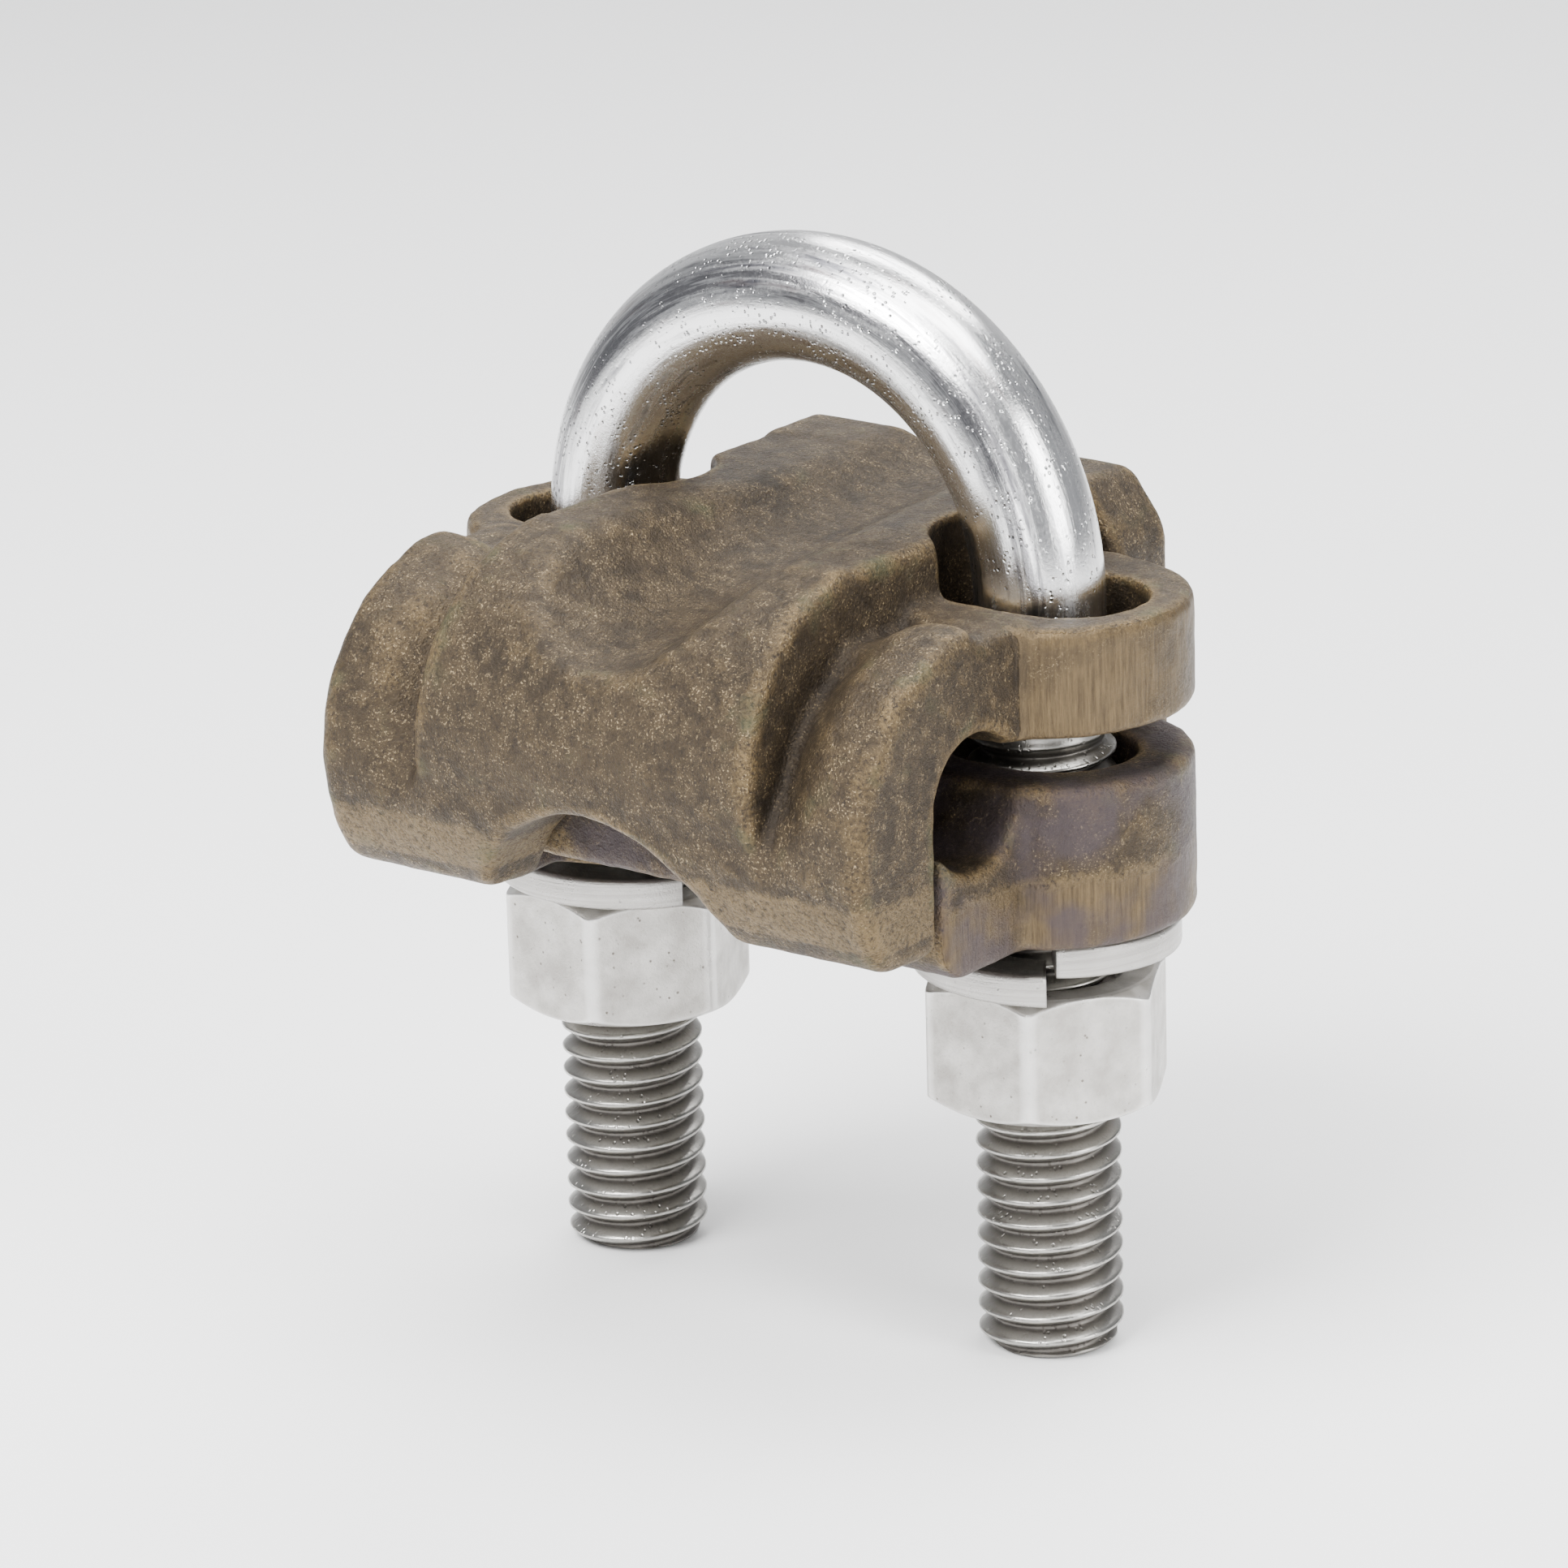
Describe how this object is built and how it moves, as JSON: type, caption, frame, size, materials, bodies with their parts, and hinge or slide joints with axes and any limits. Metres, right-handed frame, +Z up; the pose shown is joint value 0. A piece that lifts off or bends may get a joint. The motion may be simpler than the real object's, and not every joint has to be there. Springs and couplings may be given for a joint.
{
  "type": "u-bolt ground clamp",
  "caption": "U-bolt ground clamp: hooked saddle and keeper castings on a bent threaded rod, nipping a cable under the hook and a ground rod under the crown.",
  "frame": {"origin": "midway between the two legs, 1 mm above the leg ends, where the full thread begins", "axes": "+Z up along the legs towards the crown, +X from the left leg to the right leg, +Y along the ground rod, the cable hook is on the -Y side"},
  "size_m": [0.0532, 0.0418, 0.0706],
  "materials": {
    "plated_rod": "bright plated, smeared and pitted",
    "bronze_saddle": "sand-cast bronze, dark patina",
    "bronze_keeper": "sand-cast bronze, ground edges",
    "washer_steel": "matte steel",
    "nut_steel": "matte blasted steel"
  },
  "bodies": {
    "u_bolt": {"u_bolt": "plated_rod"},
    "saddle": {"saddle": "bronze_saddle"},
    "keeper": {"keeper": "bronze_keeper"},
    "washer_left": {"washer_left": "washer_steel"},
    "washer_right": {"washer_right": "washer_steel"},
    "nut_left": {"nut_left": "nut_steel"},
    "nut_right": {"nut_right": "nut_steel"}
  },
  "joints": [
    {"name": "keeper_slide", "type": "slide", "parent": "u_bolt", "child": "keeper", "axis": [0, 0, 1], "range_m": [-0.015, 0.002]},
    {"name": "saddle_lift", "type": "slide", "parent": "keeper", "child": "saddle", "axis": [0, 0, 1], "range_m": [0, 0.0021]},
    {"name": "washer_left_slide", "type": "slide", "parent": "u_bolt", "child": "washer_left", "axis": [0, 0, 1], "range_m": [-0.015, 0.002]},
    {"name": "washer_right_slide", "type": "slide", "parent": "u_bolt", "child": "washer_right", "axis": [0, 0, 1], "range_m": [-0.015, 0.002]},
    {"name": "nut_left_spin", "type": "hinge", "parent": "washer_left", "child": "nut_left", "pos_m": [-0.017, 0, 0.0201], "axis": [0, 0, 1], "range_deg": [-3402, 454]},
    {"name": "nut_right_spin", "type": "hinge", "parent": "washer_right", "child": "nut_right", "pos_m": [0.017, 0, 0.0201], "axis": [0, 0, 1], "range_deg": [-3402, 454]}
  ],
  "couplings": [
    {"joint": "washer_left_slide", "follows": "keeper_slide", "ratio": 1},
    {"joint": "washer_right_slide", "follows": "keeper_slide", "ratio": 1},
    {"joint": "nut_left_spin", "follows": "keeper_slide", "rad_per_m": 3957.9},
    {"joint": "nut_right_spin", "follows": "keeper_slide", "rad_per_m": 3957.9}
  ]
}
